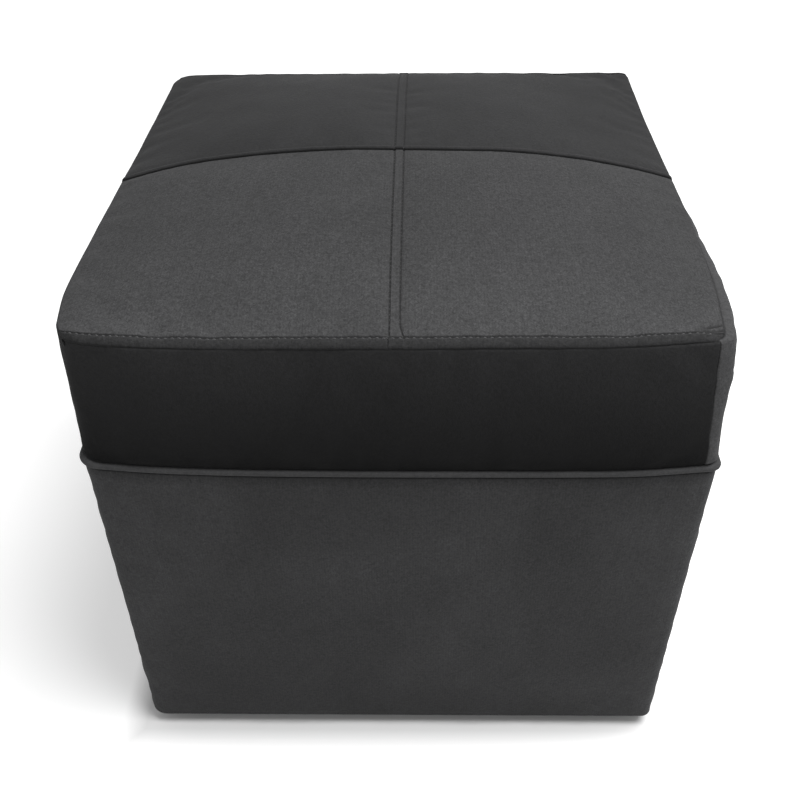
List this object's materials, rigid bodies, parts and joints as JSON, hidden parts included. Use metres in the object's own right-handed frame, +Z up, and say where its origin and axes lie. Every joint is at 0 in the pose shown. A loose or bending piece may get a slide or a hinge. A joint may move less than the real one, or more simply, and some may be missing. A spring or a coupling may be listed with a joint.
{
  "type": "storage ottoman",
  "caption": "Cube-shaped upholstered storage ottoman with a padded, cross-seamed lid hinged along the rear and a lined box inside.",
  "frame": {"origin": "on the floor, at the centre of the footprint", "axes": "+Z up, -Y to the front, away from the hinges, +X to the right as seen from the front"},
  "size_m": [0.45, 0.4494, 0.45],
  "materials": {
    "velvet": "matte",
    "band_velvet": "matte",
    "chipboard": "matte",
    "foam": "matte",
    "wadding": "matte",
    "lining": "matte",
    "zinc_steel": "satin",
    "glide_plastic": "matte"
  },
  "bodies": {
    "box": {"base_panel": "chipboard", "base_screw_left_inner": "zinc_steel", "base_screw_left_outer": "zinc_steel", "base_screw_right_inner": "zinc_steel", "base_screw_right_outer": "zinc_steel", "body_cover": "velvet", "corner_post_front_left": "chipboard", "corner_post_front_right": "chipboard", "corner_post_rear_left": "chipboard", "corner_post_rear_right": "chipboard", "dust_cover": "lining", "foot_front_left": "glide_plastic", "foot_front_right": "glide_plastic", "foot_rear_left": "glide_plastic", "foot_rear_right": "glide_plastic", "foot_screw_front_left": "zinc_steel", "foot_screw_front_right": "zinc_steel", "foot_screw_rear_left": "zinc_steel", "foot_screw_rear_right": "zinc_steel", "front_panel": "chipboard", "hinge_leaf_base_left": "zinc_steel", "hinge_leaf_base_right": "zinc_steel", "hinge_pin_left": "zinc_steel", "hinge_pin_right": "zinc_steel", "hinge_rail": "chipboard", "left_panel": "chipboard", "padding_front": "foam", "padding_left": "foam", "padding_rear": "foam", "padding_right": "foam", "rear_panel": "chipboard", "right_panel": "chipboard", "rim_roll": "velvet", "storage_lining": "lining"},
    "lid": {"band_front": "band_velvet", "band_left": "band_velvet", "band_rear": "band_velvet", "band_right": "band_velvet", "hinge_leaf_lid_left": "zinc_steel", "hinge_leaf_lid_right": "zinc_steel", "lid_board": "chipboard", "lid_foam": "foam", "lid_lining": "lining", "lid_screw_left_inner": "zinc_steel", "lid_screw_left_outer": "zinc_steel", "lid_screw_right_inner": "zinc_steel", "lid_screw_right_outer": "zinc_steel", "lid_wadding": "wadding", "seat_front_left": "velvet", "seat_front_right": "velvet", "seat_rear_left": "velvet", "seat_rear_right": "velvet"}
  },
  "joints": [
    {"name": "lid_hinge", "type": "hinge", "parent": "box", "child": "lid", "pos_m": [0, 0.2195, 0.32], "axis": [-1, 0, 0], "range_deg": [0, 95]}
  ]
}
